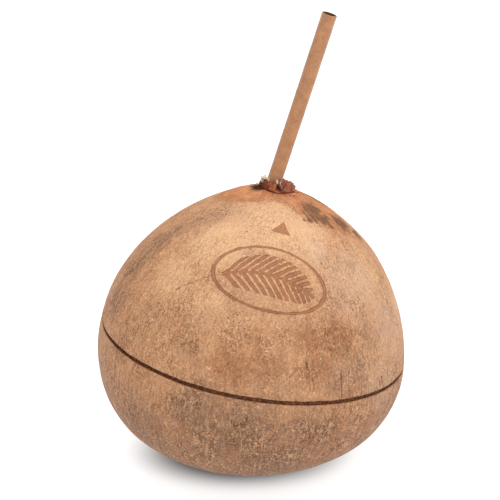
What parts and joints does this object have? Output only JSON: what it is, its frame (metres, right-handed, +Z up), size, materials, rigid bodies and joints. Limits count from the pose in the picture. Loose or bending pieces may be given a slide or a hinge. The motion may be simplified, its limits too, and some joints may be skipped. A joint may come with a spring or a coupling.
{
  "type": "drinking coconut",
  "caption": "Whole dehusked coconut with a smooth tan shell, a scored groove around it, a ragged husk collar at the drinking hole and a paper straw standing in it.",
  "frame": {"origin": "middle of the footprint of the whole object, on the surface that it rests on", "axes": "+Z is up; the coconut's own axis and the straw lean towards +X; -Y is the front, which carries the burned mark"},
  "size_m": [0.1258, 0.126, 0.184],
  "materials": {
    "shell": "satin",
    "paper": "matte"
  },
  "bodies": {
    "root": {"coconut": "shell", "straw": "paper"}
  },
  "joints": []
}
